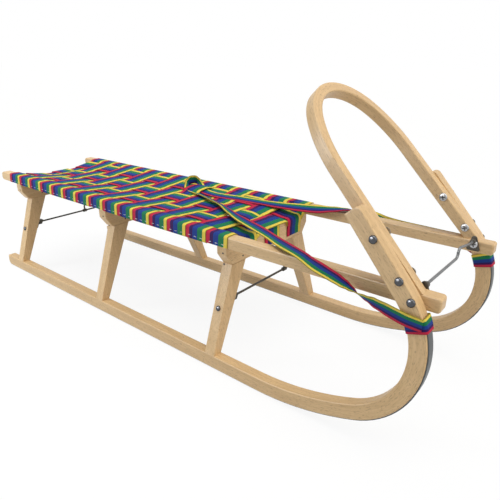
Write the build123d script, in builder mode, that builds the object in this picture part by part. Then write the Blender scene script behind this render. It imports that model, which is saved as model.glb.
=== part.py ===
from build123d import *
import os
from math import atan, cos, degrees, hypot, radians, sin, tan

os.makedirs("parts", exist_ok=True)

# Wooden sled with a woven webbing seat, in mm
# X runs forward, Y to the left, Z up from the snow, and the origin is under the middle
half_length = 614        # middle to the rear end of a seat rail
half_track = 176         # outer face of a runner at the snow
lean = 3.55              # inward lean of the two side planes, degrees
sides = (("right", -1), ("left", 1))  # name, sign of Y

# Bent runners with a steel sole
runner_width = 21
runner_height = 26
runner_rear_x = 17 - half_length
rise_start_x = half_length - 295     # where the straight sole begins to rise
rise_radius = 540
rise_angle = 21
nose_radius = 148        # to the outside of the sole
nose_angle = 110
horn_length = 134        # straight upper end of the runner
horn_corner = 9
heel_round = 12
sole_thick = 2
sole_width = 15
sole_gap = 0.2
sole_wrap = 89           # how far the sole follows the nose, degrees
wood_round = 2

# Seat rails
rail_height = 22
rail_thick = 22
rail_bottom = 240        # along the leaning side plane
rail_front_x = half_length - 8
rail_rear_round = 9
rail_front_round = 5
rail_round = 3

# Legs, splayed and tapered, with a crossbar on each pair
leg_rear_x = 88 - half_length
leg_front_x = half_length - 408
leg_middle_x = (leg_rear_x + leg_front_x) / 2 + 6.5
leg_centres = (("rear", leg_rear_x), ("middle", leg_middle_x), ("front", leg_front_x))  # name, X
leg_depth = 25
leg_top_outer = 116      # Y of the outer face at the top of the leg
leg_top_inner = 76.7
crossbar_height = 42
crossbar_depth = 25
crossbar_half = {"rear": 139, "middle": 136, "front": 130}
crossbar_cut = (15, 22)  # lower corner taken off each end, along Y and Z
tenon_fit = 0.2
top_tenon = (15, 24, 20)     # along X, Y and Z
foot_tenon = (15, 10, 14)

# Bow bent from one lath, planed flat where it is bolted to the runners
bow_lean = 43.4
bow_foot_x = half_length - 29        # front face of the bow at bow_foot_z
bow_foot_z = 256
bow_depth = 20
bow_thick = 18
bow_leg_end = 212        # straight leg, measured up the bow from bow_foot_z
bow_side_radius = 185
bow_side_angle = 30
bow_round = 2.5

# Steel braces across the legs and the nose
wire_d = 4.5
wire_fit = 0.2
brace_pairs = (("rear", leg_rear_x, 43), ("front", leg_front_x, 18))  # name, X, run from crank to eye
brace_height = 124
brace_step = 18          # the left wire runs this much higher before it drops to its eye
brace_tail = 9           # the right wire ends this far short of the crank
bracket_plate = 2.5
bracket_size = (18, 30)  # along X and up the leg
lug_size = 12
nose_bolt_x = half_length - 41
nose_bracket_half = 9
nose_bracket_low = 244
nose_wire_s = 263
nose_wire_hook = (30, 24)    # Y of the hook's lower and upper bend
nose_wire_rise = (-4, 13)    # heights of those bends above the brackets
wire_bend = 7
eye_d = 9
eye_length = 10

# Webbing
web_thick = 1.6
web_gap = 0.3
across_pitch = 53
across_width = 50
across_front_x = leg_front_x + 24
bare_tail = 45           # rail left bare behind the last strap, at least
seat_drop = 10           # seat plane below the rail tops
drop_run = 8             # sideways run of that drop
along_count = 3
along_width = 48
along_margin = 6         # from the outer straps to the drop, with the straps centred
along_shift = 4          # the straps lie this much to the left
along_thick = 1.2
fold_tail = 36

# Tow strap, a flat band with a sewn loop round each runner
tow_width = 25
tow_thick = 2
tow_loop_angle = 110     # direction of the runner at the loop, degrees
tow_loop_gap = 0.4
tow_route = [            # X, Y, Z from the right loop, over the seat, to the left loop
    (568.2, -152, 217), (543, -152, 219.5), (508, -156, 228), (468, -163, 242),
    (424, -166, 259), (378, -156, 266), (330, -134, 270), (283, -108, 269),
    (229, -77, 266.5), (170, -46, 267), (108, -13, 264.5), (52, 19, 262),
    (6, 41, 260.5), (-34, 48, 260), (-68, 46, 260.5), (-96, 51, 261),
    (-112, 65, 261), (-111, 82, 261), (-96, 93, 261), (-68, 93, 260.5),
    (-32, 83, 260), (20, 70, 260.5), (74, 69, 261), (126, 80, 262),
    (180, 87, 264), (228, 94, 264.5), (281, 107, 268), (332, 126, 270.5),
    (380, 154, 266), (424, 166, 259), (468, 163, 242), (508, 156, 228),
    (543, 152, 219.5), (568, 152, 217),
]

# Values worked out from the sizes above
lean_r = radians(lean)
bow_r = radians(bow_lean)


def height(s):
    return s * cos(lean_r)


def side_y(z, inset):
    return half_track - z * tan(lean_r) - inset


def side_plane(sign, inset):
    return Plane(origin=(0, sign * (half_track - inset), 0), x_dir=(1, 0, 0),
                 z_dir=(0, -cos(lean_r), -sign * sin(lean_r)))


runner_top = sole_thick + runner_height
rail_top = rail_bottom + rail_height
rail_bottom_z = height(rail_bottom)
rail_top_z = height(rail_top)
runner_top_z = height(runner_top)
crossbar_bottom_z = rail_bottom_z - crossbar_height
rail_inset = runner_width
rail_inner = rail_inset + rail_thick
rise_r = radians(rise_angle)
nose_start = (rise_start_x + rise_radius * sin(rise_r), rise_radius * (1 - cos(rise_r)))
nose_centre = (nose_start[0] - nose_radius * sin(rise_r), nose_start[1] + nose_radius * cos(rise_r))

# Runners, two bends and a straight horn, with mortises for the legs
for side, sign in sides:
    with BuildPart() as runner:
        with BuildSketch(side_plane(sign, 0)):
            with BuildLine():
                sole_line = Line((runner_rear_x, sole_thick), (rise_start_x, sole_thick))
                rise_low = JernArc(sole_line @ 1, sole_line % 1, rise_radius - sole_thick, rise_angle)
                nose_low = JernArc(rise_low @ 1, rise_low % 1, nose_radius - sole_thick, nose_angle)
                horn_low = PolarLine(nose_low @ 1, horn_length, rise_angle + nose_angle)
                top_line = Line((runner_rear_x, runner_top), (rise_start_x, runner_top))
                rise_top = JernArc(top_line @ 1, top_line % 1, rise_radius - runner_top, rise_angle)
                nose_top = JernArc(rise_top @ 1, rise_top % 1, nose_radius - runner_top, nose_angle)
                horn_top = PolarLine(nose_top @ 1, horn_length, rise_angle + nose_angle)
                Line(horn_low @ 1, horn_top @ 1)
                Line(sole_line @ 0, top_line @ 0)
            make_face()
        extrude(amount=runner_width, dir=(0, -sign, 0))
        ends = runner.edges().filter_by(Axis.Y)
        heel = ends.group_by(Axis.X)[0]
        fillet(heel.sort_by(Axis.Z)[0], heel_round)
        tip = runner.edges().filter_by(Axis.Y).group_by(Axis.Z)[-1]
        fillet(tip.sort_by(Axis.X)[-1], horn_corner)
        fillet(runner.edges().filter_by(Axis.Y, reverse=True), wood_round)
        for place, x in leg_centres:
            mortise_y = sign * side_y(runner_top_z, runner_width / 2)
            with BuildSketch(Plane.XY.offset(runner_top_z)):
                with Locations((x, mortise_y)):
                    Rectangle(foot_tenon[0] + 2 * tenon_fit, foot_tenon[1] + 2 * tenon_fit)
            extrude(amount=-foot_tenon[2] - tenon_fit, mode=Mode.SUBTRACT)
    runner.part.label = f"runner_{side}"
    export_step(runner.part, f"parts/runner_{side}.step")

# Steel soles under the runners and up round the nose
for side, sign in sides:
    with BuildPart() as sole:
        with BuildSketch(side_plane(sign, (runner_width - sole_width) / 2)):
            with BuildLine():
                wear_line = Line((runner_rear_x + heel_round, 0), (rise_start_x, 0))
                wear_rise = JernArc(wear_line @ 1, wear_line % 1, rise_radius, rise_angle)
                wear_nose = JernArc(wear_rise @ 1, wear_rise % 1, nose_radius, sole_wrap)
                seat_line = Line((runner_rear_x + heel_round, sole_thick - sole_gap),
                                 (rise_start_x, sole_thick - sole_gap))
                seat_rise = JernArc(seat_line @ 1, seat_line % 1,
                                    rise_radius - sole_thick + sole_gap, rise_angle)
                seat_nose = JernArc(seat_rise @ 1, seat_rise % 1,
                                    nose_radius - sole_thick + sole_gap, sole_wrap)
                Line(wear_line @ 0, seat_line @ 0)
                Line(wear_nose @ 1, seat_nose @ 1)
            make_face()
        extrude(amount=sole_width, dir=(0, -sign, 0))
    sole.part.label = f"sole_{side}"
    export_step(sole.part, f"parts/sole_{side}.step")

# Seat rails, rounded at the rear
for side, sign in sides:
    with BuildPart() as rail:
        with BuildSketch(side_plane(sign, rail_inset)):
            with Locations(((rail_front_x - half_length) / 2, (rail_bottom + rail_top) / 2)):
                Rectangle(rail_front_x + half_length, rail_height)
        extrude(amount=rail_thick, dir=(0, -sign, 0))
        fillet(rail.edges().filter_by(Axis.Y).group_by(Axis.X)[0], rail_rear_round)
        fillet(rail.edges().filter_by(Axis.Y).group_by(Axis.X)[-1], rail_front_round)
        fillet(rail.edges().filter_by(Axis.X), rail_round)
    rail.part.label = f"seat_rail_{side}"
    export_step(rail.part, f"parts/seat_rail_{side}.step")

# Crossbars under the rails, with a mortise over each leg
top_tenon_y = (leg_top_outer + leg_top_inner) / 2
for place, x in leg_centres:
    bar_half = crossbar_half[place]
    with BuildPart() as crossbar:
        with BuildSketch(Plane.YZ.offset(x - crossbar_depth / 2)):
            with BuildLine():
                Polyline((-bar_half, rail_bottom_z), (bar_half, rail_bottom_z),
                         (bar_half, crossbar_bottom_z + crossbar_cut[1]),
                         (bar_half - crossbar_cut[0], crossbar_bottom_z),
                         (crossbar_cut[0] - bar_half, crossbar_bottom_z),
                         (-bar_half, crossbar_bottom_z + crossbar_cut[1]), close=True)
            make_face()
        extrude(amount=crossbar_depth)
        lower = crossbar.edges().filter_by(Axis.X, reverse=True).sort_by(Axis.Z)[:-2]
        fillet(lower, wood_round)
        with BuildSketch(Plane.XY.offset(crossbar_bottom_z)):
            with Locations((x, -top_tenon_y), (x, top_tenon_y)):
                Rectangle(top_tenon[0] + 2 * tenon_fit, top_tenon[1] + 2 * tenon_fit)
        extrude(amount=top_tenon[2] + tenon_fit, mode=Mode.SUBTRACT)
    crossbar.part.label = f"crossbar_{place}"
    export_step(crossbar.part, f"parts/crossbar_{place}.step")

# Legs, tenoned into a runner and a crossbar
for place, x in leg_centres:
    for side, sign in sides:
        foot_outer = side_y(runner_top_z, 0)
        foot_inner = side_y(runner_top_z, runner_width)
        with BuildPart() as leg:
            with BuildSketch(Plane.YZ.offset(x - leg_depth / 2)):
                with BuildLine():
                    Polyline((sign * foot_outer, runner_top_z), (sign * leg_top_outer, crossbar_bottom_z),
                             (sign * leg_top_inner, crossbar_bottom_z), (sign * foot_inner, runner_top_z),
                             close=True)
                make_face()
            extrude(amount=leg_depth)
            flat = leg.edges().filter_by(Axis.X) + leg.edges().filter_by(Axis.Y)
            fillet([edge for edge in leg.edges() if edge not in flat], wood_round)
            with BuildSketch(Plane.XY.offset(runner_top_z)):
                with Locations((x, sign * side_y(runner_top_z, runner_width / 2))):
                    Rectangle(foot_tenon[0], foot_tenon[1])
            extrude(amount=-foot_tenon[2])
            with BuildSketch(Plane.XY.offset(crossbar_bottom_z)):
                with Locations((x, sign * top_tenon_y)):
                    Rectangle(top_tenon[0], top_tenon[1])
            extrude(amount=top_tenon[2])
        leg.part.label = f"leg_{place}_{side}"
        export_step(leg.part, f"parts/leg_{place}_{side}.step")

# Bow, a bent U that stands on the rails
bow_plane = Plane(origin=(bow_foot_x, 0, bow_foot_z), x_dir=(0, 1, 0), z_dir=(cos(bow_r), 0, sin(bow_r)))
bow_leg_lean = degrees(atan(cos(bow_r) * tan(lean_r)))
bow_foot_y = side_y(bow_foot_z, runner_width) + tan(lean_r) * bow_depth
leg_end_y = bow_foot_y - bow_leg_end * tan(radians(bow_leg_lean))
with BuildPart() as bow:
    with BuildSketch(bow_plane):
        with BuildLine():
            leg_line = Line((bow_foot_y + bow_depth * tan(radians(bow_leg_lean)), -bow_depth),
                            (leg_end_y, bow_leg_end))
            side_arc = JernArc(leg_line @ 1, leg_line % 1, bow_side_radius, bow_side_angle)
            crown_turn = 90 - bow_leg_lean - bow_side_angle
            crown_radius = (side_arc @ 1).X / sin(radians(crown_turn))
            crown_arc = JernArc(side_arc @ 1, side_arc % 1, crown_radius, crown_turn)
            mirror(about=Plane.YZ)
            offset(amount=-bow_thick, side=Side.LEFT, closed=True)
        make_face()
    extrude(amount=-bow_depth)
    flat_faces = bow.faces().filter_by(Axis((0, 0, 0), (cos(bow_r), 0, sin(bow_r))))
    fillet(flat_faces.edges(), bow_round)
    for side, sign in sides:
        split(bisect_by=side_plane(sign, runner_width), keep=Keep.TOP if sign > 0 else Keep.BOTTOM)
    split(bisect_by=Plane.XY.offset(rail_top_z), keep=Keep.TOP)
bow.part.label = "front_bow"
export_step(bow.part, "parts/front_bow.step")

# Brace brackets, a plate on the inner face of each leg with a lug for the wire
leg_run = side_y(runner_top_z, runner_width) - leg_top_inner
leg_rise = crossbar_bottom_z - runner_top_z
leg_slant = hypot(leg_run, leg_rise)
brace_y = side_y(runner_top_z, runner_width) - (brace_height - runner_top_z) * leg_run / leg_rise
wire_end_y = brace_y - bracket_plate - 1
for place, x, eye_run in brace_pairs:
    for side, sign in sides:
        leg_face = Plane(origin=(x, sign * brace_y, brace_height), x_dir=(1, 0, 0),
                         z_dir=(0, -sign * leg_rise / leg_slant, -leg_run / leg_slant))
        with BuildPart() as bracket:
            with BuildSketch(leg_face):
                RectangleRounded(bracket_size[0], bracket_size[1], bracket_size[0] / 4)
            extrude(amount=bracket_plate)
            with BuildSketch(leg_face):
                Rectangle(lug_size, lug_size)
            extrude(amount=lug_size + bracket_plate, dir=(0, -sign, 0))
            with BuildSketch(Plane.XZ.offset(-sign * wire_end_y)):
                with Locations((x, brace_height)):
                    Circle(wire_d / 2 + wire_fit)
            extrude(amount=sign * 2 * lug_size, mode=Mode.SUBTRACT)
        bracket.part.label = f"brace_bracket_{place}_{side}"
        export_step(bracket.part, f"parts/brace_bracket_{place}_{side}.step")

# Brace wires, a long straight one and a cranked one with an eye that slides on it
hook_z = brace_height + brace_step
crank_y = brace_y - lug_size - 3 * wire_d
for place, x, eye_run in brace_pairs:
    with BuildPart() as long_wire:
        with BuildSketch(Plane.XZ.offset(wire_end_y - wire_fit)):
            with Locations((x, brace_height)):
                Circle(wire_d / 2)
        extrude(amount=-wire_end_y + wire_fit - crank_y + brace_tail)
    long_wire.part.label = f"brace_wire_{place}_right"
    export_step(long_wire.part, f"parts/brace_wire_{place}_right.step")

    hook_y = crank_y - eye_run
    with BuildPart() as hook_wire:
        with BuildLine():
            FilletPolyline((x, wire_end_y - wire_fit, brace_height),
                           (x, brace_y - lug_size - 2 * wire_d, brace_height),
                           (x, crank_y, hook_z), (x, hook_y, hook_z),
                           (x, hook_y, brace_height + eye_d * 0.38), radius=wire_bend)
        with BuildSketch(Plane.XZ.offset(-wire_end_y + wire_fit)):
            with Locations((x, brace_height)):
                Circle(wire_d / 2)
        sweep()
        with BuildSketch(Plane.XZ.offset(-hook_y)):
            with Locations((x, brace_height)):
                Circle(eye_d / 2)
                Circle(wire_d / 2 + wire_fit, mode=Mode.SUBTRACT)
        extrude(amount=eye_length / 2, both=True)
    hook_wire.part.label = f"brace_wire_{place}_left"
    export_step(hook_wire.part, f"parts/brace_wire_{place}_left.step")

# Nose brackets on the inner faces of the rails, and the wire between them
nose_wire_z = height(nose_wire_s)
nose_end_y = side_y(nose_wire_z, rail_inner) - bracket_plate - 1
lug_end_y = side_y(nose_wire_z, rail_inner) - bracket_plate - lug_size
for side, sign in sides:
    with BuildPart() as nose_bracket:
        with BuildSketch(side_plane(sign, rail_inner)):
            with BuildLine():
                Polyline((nose_bolt_x - nose_bracket_half, nose_bracket_low),
                         (nose_bolt_x + nose_bracket_half, nose_bracket_low),
                         (nose_bolt_x + lug_size / 2, nose_wire_s + lug_size / 2),
                         (nose_bolt_x - lug_size / 2, nose_wire_s + lug_size / 2), close=True)
            make_face()
        extrude(amount=bracket_plate, dir=(0, -sign, 0))
        with BuildSketch(side_plane(sign, rail_inner)):
            with Locations((nose_bolt_x, nose_wire_s)):
                Rectangle(lug_size, lug_size)
        extrude(amount=lug_size + bracket_plate, dir=(0, -sign, 0))
        with BuildSketch(Plane.XZ.offset(-sign * nose_end_y)):
            with Locations((nose_bolt_x, nose_wire_z)):
                Circle(wire_d / 2 + wire_fit)
        extrude(amount=sign * 2 * lug_size, mode=Mode.SUBTRACT)
    nose_bracket.part.label = f"brace_bracket_nose_{side}"
    export_step(nose_bracket.part, f"parts/brace_bracket_nose_{side}.step")

with BuildPart() as nose_wire:
    with BuildLine():
        FilletPolyline((nose_bolt_x, -nose_end_y + wire_fit, nose_wire_z),
                       (nose_bolt_x, -lug_end_y + 2 * wire_d, nose_wire_z),
                       (nose_bolt_x, nose_wire_hook[0], nose_wire_z + nose_wire_rise[0]),
                       (nose_bolt_x, nose_wire_hook[1], nose_wire_z + nose_wire_rise[1]),
                       (nose_bolt_x, lug_end_y - 2 * wire_d, nose_wire_z),
                       (nose_bolt_x, nose_end_y - wire_fit, nose_wire_z), radius=wire_bend)
    with BuildSketch(Plane.XZ.offset(nose_end_y - wire_fit)):
        with Locations((nose_bolt_x, nose_wire_z)):
            Circle(wire_d / 2)
    sweep()
nose_wire.part.label = "brace_wire_nose"
export_step(nose_wire.part, "parts/brace_wire_nose.step")

# Levels of the woven seat
web_line = web_gap + web_thick / 2
seat_z = rail_top_z + web_line - seat_drop
lift = (web_thick + along_thick) / 2 + web_gap
along_line = web_gap + along_thick / 2

# Straps across, over both rails and down their outer faces
rail_wrap = rail_round + web_line
wrap_low = (side_y(rail_bottom_z + rail_round, rail_inset) + web_line, rail_bottom_z + rail_round)
wrap_high = (side_y(rail_top_z + web_line, rail_inset) + web_line, rail_top_z + web_line)
leave = (side_y(rail_top_z, rail_inner) - web_thick, rail_top_z + web_line)
land = (leave[0] - drop_run, seat_z)
across_count = int((across_front_x + half_length - bare_tail) / across_pitch)
across_radii = (rail_wrap, rail_round, rail_round, rail_round, rail_round, rail_wrap)
with BuildPart() as across:
    for i in range(across_count):
        with BuildSketch(Plane.YZ.offset(across_front_x - across_width - i * across_pitch)):
            with BuildLine():
                half_path = (wrap_low, wrap_high, leave, land)
                other_half = tuple((-y, z) for y, z in reversed(half_path))
                FilletPolyline(*half_path, *other_half, radius=across_radii)
            trace(line_width=web_thick)
        extrude(amount=across_width)
across.part.label = "seat_straps_across"
export_step(across.part, "parts/seat_straps_across.step")

# Straps along, woven over and under, folded round the rear strap and fixed to the front crossbar
first_rear_x = across_front_x - across_width - (across_count - 1) * across_pitch
step_radius = 0.7 * lift
along_pitch = 2 * (land[0] - web_thick - along_margin - along_width / 2) / (along_count - 1)
hold_x = leg_front_x + crossbar_depth / 2 + along_line
hold_drop = rail_bottom_z - seat_z
with BuildPart() as along:
    for n in range(along_count):
        y = (n - (along_count - 1) / 2) * along_pitch + along_shift
        over = 1 if n % 2 == 0 else -1
        fold_x = first_rear_x - along_line
        weave = [(first_rear_x + fold_tail, -over * lift), (fold_x, -over * lift), (fold_x, over * lift)]
        for i in range(across_count - 1):
            gap_x = first_rear_x + (i + 1) * across_pitch - (across_pitch - across_width) / 2
            weave += [(gap_x, over * lift), (gap_x, -over * lift)]
            over = -over
        if over > 0:
            weave += [(across_front_x + 4, over * lift), (hold_x, hold_drop - 2)]
        else:
            weave += [(hold_x, hold_drop + 3)]
        weave += [(hold_x, hold_drop - crossbar_height + 9)]
        with BuildSketch(Plane(origin=(0, y + along_width / 2, seat_z), x_dir=(1, 0, 0), z_dir=(0, -1, 0))):
            with BuildLine():
                FilletPolyline(*weave, radius=step_radius)
            trace(line_width=along_thick)
        extrude(amount=along_width)
along.part.label = "seat_straps_along"
export_step(along.part, "parts/seat_straps_along.step")

# Sewn loops of the tow strap round the runners, below the rails
loop_half = degrees(tow_width / 2 / (nose_radius - runner_top / 2))
loop_start = tow_loop_angle - 90 - loop_half
for side, sign in sides:
    with BuildPart() as tow_loop:
        for grow, mode in ((tow_loop_gap + web_thick, Mode.ADD), (tow_loop_gap, Mode.SUBTRACT)):
            with BuildSketch(side_plane(sign, -grow)):
                with BuildLine():
                    loop_outer = CenterArc(nose_centre, nose_radius + grow,
                                           loop_start, 2 * loop_half)
                    loop_inner = CenterArc(nose_centre, nose_radius - runner_top - grow,
                                           loop_start, 2 * loop_half)
                    Line(loop_outer @ 0, loop_inner @ 0)
                    Line(loop_outer @ 1, loop_inner @ 1)
                make_face()
            extrude(amount=runner_width + 2 * grow, dir=(0, -sign, 0), mode=mode)
    tow_loop.part.label = f"tow_loop_{side}"
    export_step(tow_loop.part, f"parts/tow_loop_{side}.step")

# Tow strap, each bend as large as its runs allow
tow_radii = []
for before, here, after in zip(tow_route, tow_route[1:], tow_route[2:]):
    run_in = Vector(*here) - Vector(*before)
    run_out = Vector(*after) - Vector(*here)
    turn = radians(run_in.get_angle(run_out))
    tow_radii.append(0.45 * min(run_in.length, run_out.length) / tan(turn / 2))
with BuildPart() as tow:
    with BuildLine():
        tow_line = FilletPolyline(*tow_route, radius=tow_radii)
    tow_start = Plane(origin=tow_route[0], x_dir=(0, 1, 0), z_dir=tow_line % 0)
    with BuildSketch(tow_start):
        Rectangle(tow_width, tow_thick)
    sweep()
print("tow strap length", round(tow_line.length), "mm, tightest bend", round(min(tow_radii)), "mm")
tow.part.label = "tow_strap"
export_step(tow.part, "parts/tow_strap.step")
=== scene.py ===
import bpy
from math import cos, pi, radians, sin, tan
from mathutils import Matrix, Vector


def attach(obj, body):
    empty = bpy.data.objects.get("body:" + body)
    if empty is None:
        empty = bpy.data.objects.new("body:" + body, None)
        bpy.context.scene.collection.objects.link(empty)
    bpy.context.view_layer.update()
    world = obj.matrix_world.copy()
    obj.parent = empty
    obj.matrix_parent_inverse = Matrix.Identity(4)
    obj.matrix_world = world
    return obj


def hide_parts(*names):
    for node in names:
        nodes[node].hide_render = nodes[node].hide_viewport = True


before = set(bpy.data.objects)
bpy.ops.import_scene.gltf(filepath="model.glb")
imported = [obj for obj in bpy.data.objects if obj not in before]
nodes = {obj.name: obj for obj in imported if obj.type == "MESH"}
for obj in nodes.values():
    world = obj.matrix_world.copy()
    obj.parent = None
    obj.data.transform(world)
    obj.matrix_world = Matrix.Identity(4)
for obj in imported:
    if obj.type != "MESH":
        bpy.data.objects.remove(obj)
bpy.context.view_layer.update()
scene = bpy.context.scene
print("sled frame loaded,", len(nodes), "nodes")

# sizes of the frame that the soft parts lie on, in metres
sled = {
    "halfTrack": 0.176, "lean": radians(3.55),
    "railBottom": 0.23954, "railTop": 0.26150, "railOut": 0.021,
    "noseX": 0.4595, "noseS": 0.1740, "noseRadius": 0.148, "runnerTop": 0.028, "runnerWidth": 0.021,
    "riseX": 0.319, "riseRadius": 0.540, "riseAngle": radians(21), "noseAngle": radians(110),
}


def sideY(z, inset):  # distance from the middle to a leaning side face
    return sled["halfTrack"] - z * tan(sled["lean"]) - inset


def clearSelection():
    if bpy.context.object and bpy.context.object.mode != "OBJECT":
        bpy.ops.object.mode_set(mode="OBJECT")
    bpy.ops.object.select_all(action="DESELECT")


def smooth(t):
    t = min(1.0, max(0.0, t))
    return t * t * (3 - 2 * t)


def between(table, s):  # smooth run through a table of (place, value)
    if s <= table[0][0]:
        return table[0][1]
    for (a, va), (b, vb) in zip(table, table[1:]):
        if s <= b:
            return va + (vb - va) * smooth((s - a) / (b - a))
    return table[-1][1]


# camera, as the photograph was taken
shot = {
    "location": (0.761, -0.711, 0.549), "tilt": 67.59, "roll": 0.24, "turn": 38.03,
    "lens": 34.09, "shift": (-0.0304, 0.0105),
}
clearSelection()
bpy.ops.object.camera_add(location=shot["location"],
                          rotation=(radians(shot["tilt"]), 0, radians(shot["turn"])))
camera = bpy.context.object
camera.name = "sledCamera"
camera.rotation_euler.rotate_axis("Z", radians(shot["roll"]))
camera.data.lens = shot["lens"]
camera.data.sensor_width = 36
camera.data.shift_x, camera.data.shift_y = shot["shift"]
camera.data.dof.use_dof = False
scene.camera = camera
print("camera set")


# node helpers
def newMaterial(name):
    material = bpy.data.materials.new(name)
    material.use_nodes = True
    tree = material.node_tree
    return material, tree, tree.nodes["Principled BSDF"]


def addNode(tree, kind, **values):
    node = tree.nodes.new(kind)
    for key, value in values.items():
        setattr(node, key, value)
    return node


def put(tree, value, socket):
    if hasattr(value, "is_output"):
        tree.links.new(value, socket)
    else:
        socket.default_value = value


def calc(tree, operation, first, second=0.0, third=0.0):
    node = addNode(tree, "ShaderNodeMath", operation=operation)
    for socket, value in zip(node.inputs, (first, second, third)):
        put(tree, value, socket)
    return node.outputs[0]


def choose(tree, test, low, high):  # high where test is 1
    node = addNode(tree, "ShaderNodeMix", data_type="FLOAT")
    put(tree, test, node.inputs[0])
    put(tree, low, node.inputs[2])
    put(tree, high, node.inputs[3])
    return node.outputs[0]


def noiseAt(tree, vector, scale, detail=3.0, rough=0.55):
    node = addNode(tree, "ShaderNodeTexNoise")
    tree.links.new(vector, node.inputs["Vector"])
    node.inputs["Scale"].default_value = scale
    node.inputs["Detail"].default_value = detail
    node.inputs["Roughness"].default_value = rough
    return node.outputs["Fac"]


def rampOf(tree, value, stops, how="LINEAR"):
    node = addNode(tree, "ShaderNodeValToRGB")
    tree.links.new(value, node.inputs[0])
    ramp = node.color_ramp
    ramp.interpolation = how
    while len(ramp.elements) < len(stops):
        ramp.elements.new(0.5)
    for element, (place, colour) in zip(ramp.elements, stops):
        element.position = place
        element.color = (*colour, 1)
    return node.outputs[0]


def mixColour(tree, factor, first, second, blend="MIX"):
    node = addNode(tree, "ShaderNodeMix", data_type="RGBA", blend_type=blend)
    put(tree, factor, node.inputs[0])
    put(tree, first if hasattr(first, "is_output") else (*first, 1), node.inputs[6])
    put(tree, second if hasattr(second, "is_output") else (*second, 1), node.inputs[7])
    return node.outputs[2]


def bumpOf(tree, height, strength, distance, under=None):
    node = addNode(tree, "ShaderNodeBump")
    node.inputs["Strength"].default_value = strength
    node.inputs["Distance"].default_value = distance
    tree.links.new(height, node.inputs["Height"])
    if under:
        tree.links.new(under, node.inputs["Normal"])
    return node.outputs[0]


# striped webbing, coloured across its width and ribbed along its length, on its own UV map
stripes = {  # from one edge to the other, share of the width and colour
    "bands": ((0.0, (0.60, 0.020, 0.065)), (0.18, (0.034, 0.004, 0.095)), (0.34, (0.010, 0.048, 0.29)),
              (0.585, (0.010, 0.205, 0.080)), (0.835, (0.94, 0.72, 0.10))),
    # painted shade: the last two entries darken both edges of every strap, in place of the shadow lines between
    # neighbouring straps
    "seatRibs": 34.0, "towRibs": 17.0, "threads": 26.0, "edgeShadeWidth": 0.030, "edgeShadeTone": 0.42,
}


def makeWebbing(name, ribs):
    material, tree, shader = newMaterial(name)
    uv = addNode(tree, "ShaderNodeUVMap", uv_map="UVMap").outputs[0]
    parts = addNode(tree, "ShaderNodeSeparateXYZ")
    tree.links.new(uv, parts.inputs[0])
    along, across = parts.outputs[0], parts.outputs[1]
    place = addNode(tree, "ShaderNodeTexCoord").outputs["Object"]
    stray = noiseAt(tree, place, 240, 2.0)  # yarns wander a little where two colours meet
    edge = calc(tree, "ADD", across, calc(tree, "MULTIPLY_ADD", stray, 0.018, -0.009))
    colour = rampOf(tree, edge, stripes["bands"], "CONSTANT")
    # yarns: ribs across the strap, threads along it, each second rib shifted
    rib = calc(tree, "MULTIPLY", along, ribs * 2 * pi)
    thread = calc(tree, "MULTIPLY", across, stripes["threads"] * 2 * pi)
    ribWave = calc(tree, "SINE", rib)
    threadWave = calc(tree, "SINE", calc(tree, "ADD", thread, calc(tree, "MULTIPLY", ribWave, 0.6)))
    weave = calc(tree, "ADD", calc(tree, "MULTIPLY", ribWave, 0.62), calc(tree, "MULTIPLY", threadWave, 0.38))
    fuzz = noiseAt(tree, place, 900, 2.0)
    shade = rampOf(tree, calc(tree, "MULTIPLY_ADD", weave, 0.5, 0.5),
                   ((0.0, (0.60, 0.60, 0.60)), (0.55, (0.95, 0.95, 0.95)), (1.0, (1.0, 1.0, 1.0))))
    colour = mixColour(tree, 1.0, colour, shade, "MULTIPLY")
    # painted shade: a darker band along both edges of the strap, for the shade in the gaps between straps
    fromEdge = calc(tree, "MINIMUM", across, calc(tree, "SUBTRACT", 1.0, across))
    tone = stripes["edgeShadeTone"]
    edgeShadeBand = rampOf(tree, fromEdge, ((0.0, (tone, tone, tone)), (stripes["edgeShadeWidth"], (1.0, 1.0, 1.0))))
    colour = mixColour(tree, 1.0, colour, edgeShadeBand, "MULTIPLY")  # painted shade: both edges of every strap are darkened to stand in for the shadow lines between neighbouring straps
    tree.links.new(colour, shader.inputs["Base Color"])
    height = calc(tree, "MULTIPLY_ADD", fuzz, 0.5, weave)
    tree.links.new(bumpOf(tree, height, 0.5, 0.0005), shader.inputs["Normal"])
    tree.links.new(calc(tree, "MULTIPLY_ADD", weave, -0.06, 0.66), shader.inputs["Roughness"])
    shader.inputs["Specular IOR Level"].default_value = 0.14
    return material


seatWebbing = makeWebbing("stripedSeatWebbing", stripes["seatRibs"])
towWebbing = makeWebbing("stripedTowWebbing", stripes["towRibs"])


# a flat strap blank, its columns then laid on stations and its rows spread across
def strapBlank(name, steps, rows):
    clearSelection()
    bpy.ops.mesh.primitive_grid_add(x_subdivisions=steps, y_subdivisions=rows, size=2)
    strap = bpy.context.object
    strap.name = name
    strap.data.name = name
    return strap


def layStrap(strap, steps, rows, width, place):
    # place(column, across) gives a point, across runs from 0 to 1
    mesh = strap.data
    spot = {}
    for vert in mesh.vertices:
        column = round((vert.co.x + 1) / 2 * steps)
        row = round((vert.co.y + 1) / 2 * rows)
        vert.co = place(column, row / rows)
        spot[vert.index] = (column, row / rows)
    run, total = [0.0], 0.0
    for column in range(steps):
        total += (place(column + 1, 0.5) - place(column, 0.5)).length
        run.append(total)
    for loop, corner in zip(mesh.loops, mesh.uv_layers.active.data):
        column, across = spot[loop.vertex_index]
        corner.uv = (run[column] / width, across)
    return total


def thicken(strap, thickness, material):
    clearSelection()
    strap.select_set(True)
    bpy.context.view_layer.objects.active = strap
    solid = strap.modifiers.new("thickness", "SOLIDIFY")
    solid.thickness = thickness
    solid.offset = 0
    bpy.ops.object.modifier_apply(modifier=solid.name)
    bpy.ops.object.shade_smooth_by_angle(angle=radians(50))
    strap.data.materials.clear()
    strap.data.materials.append(material)


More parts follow.
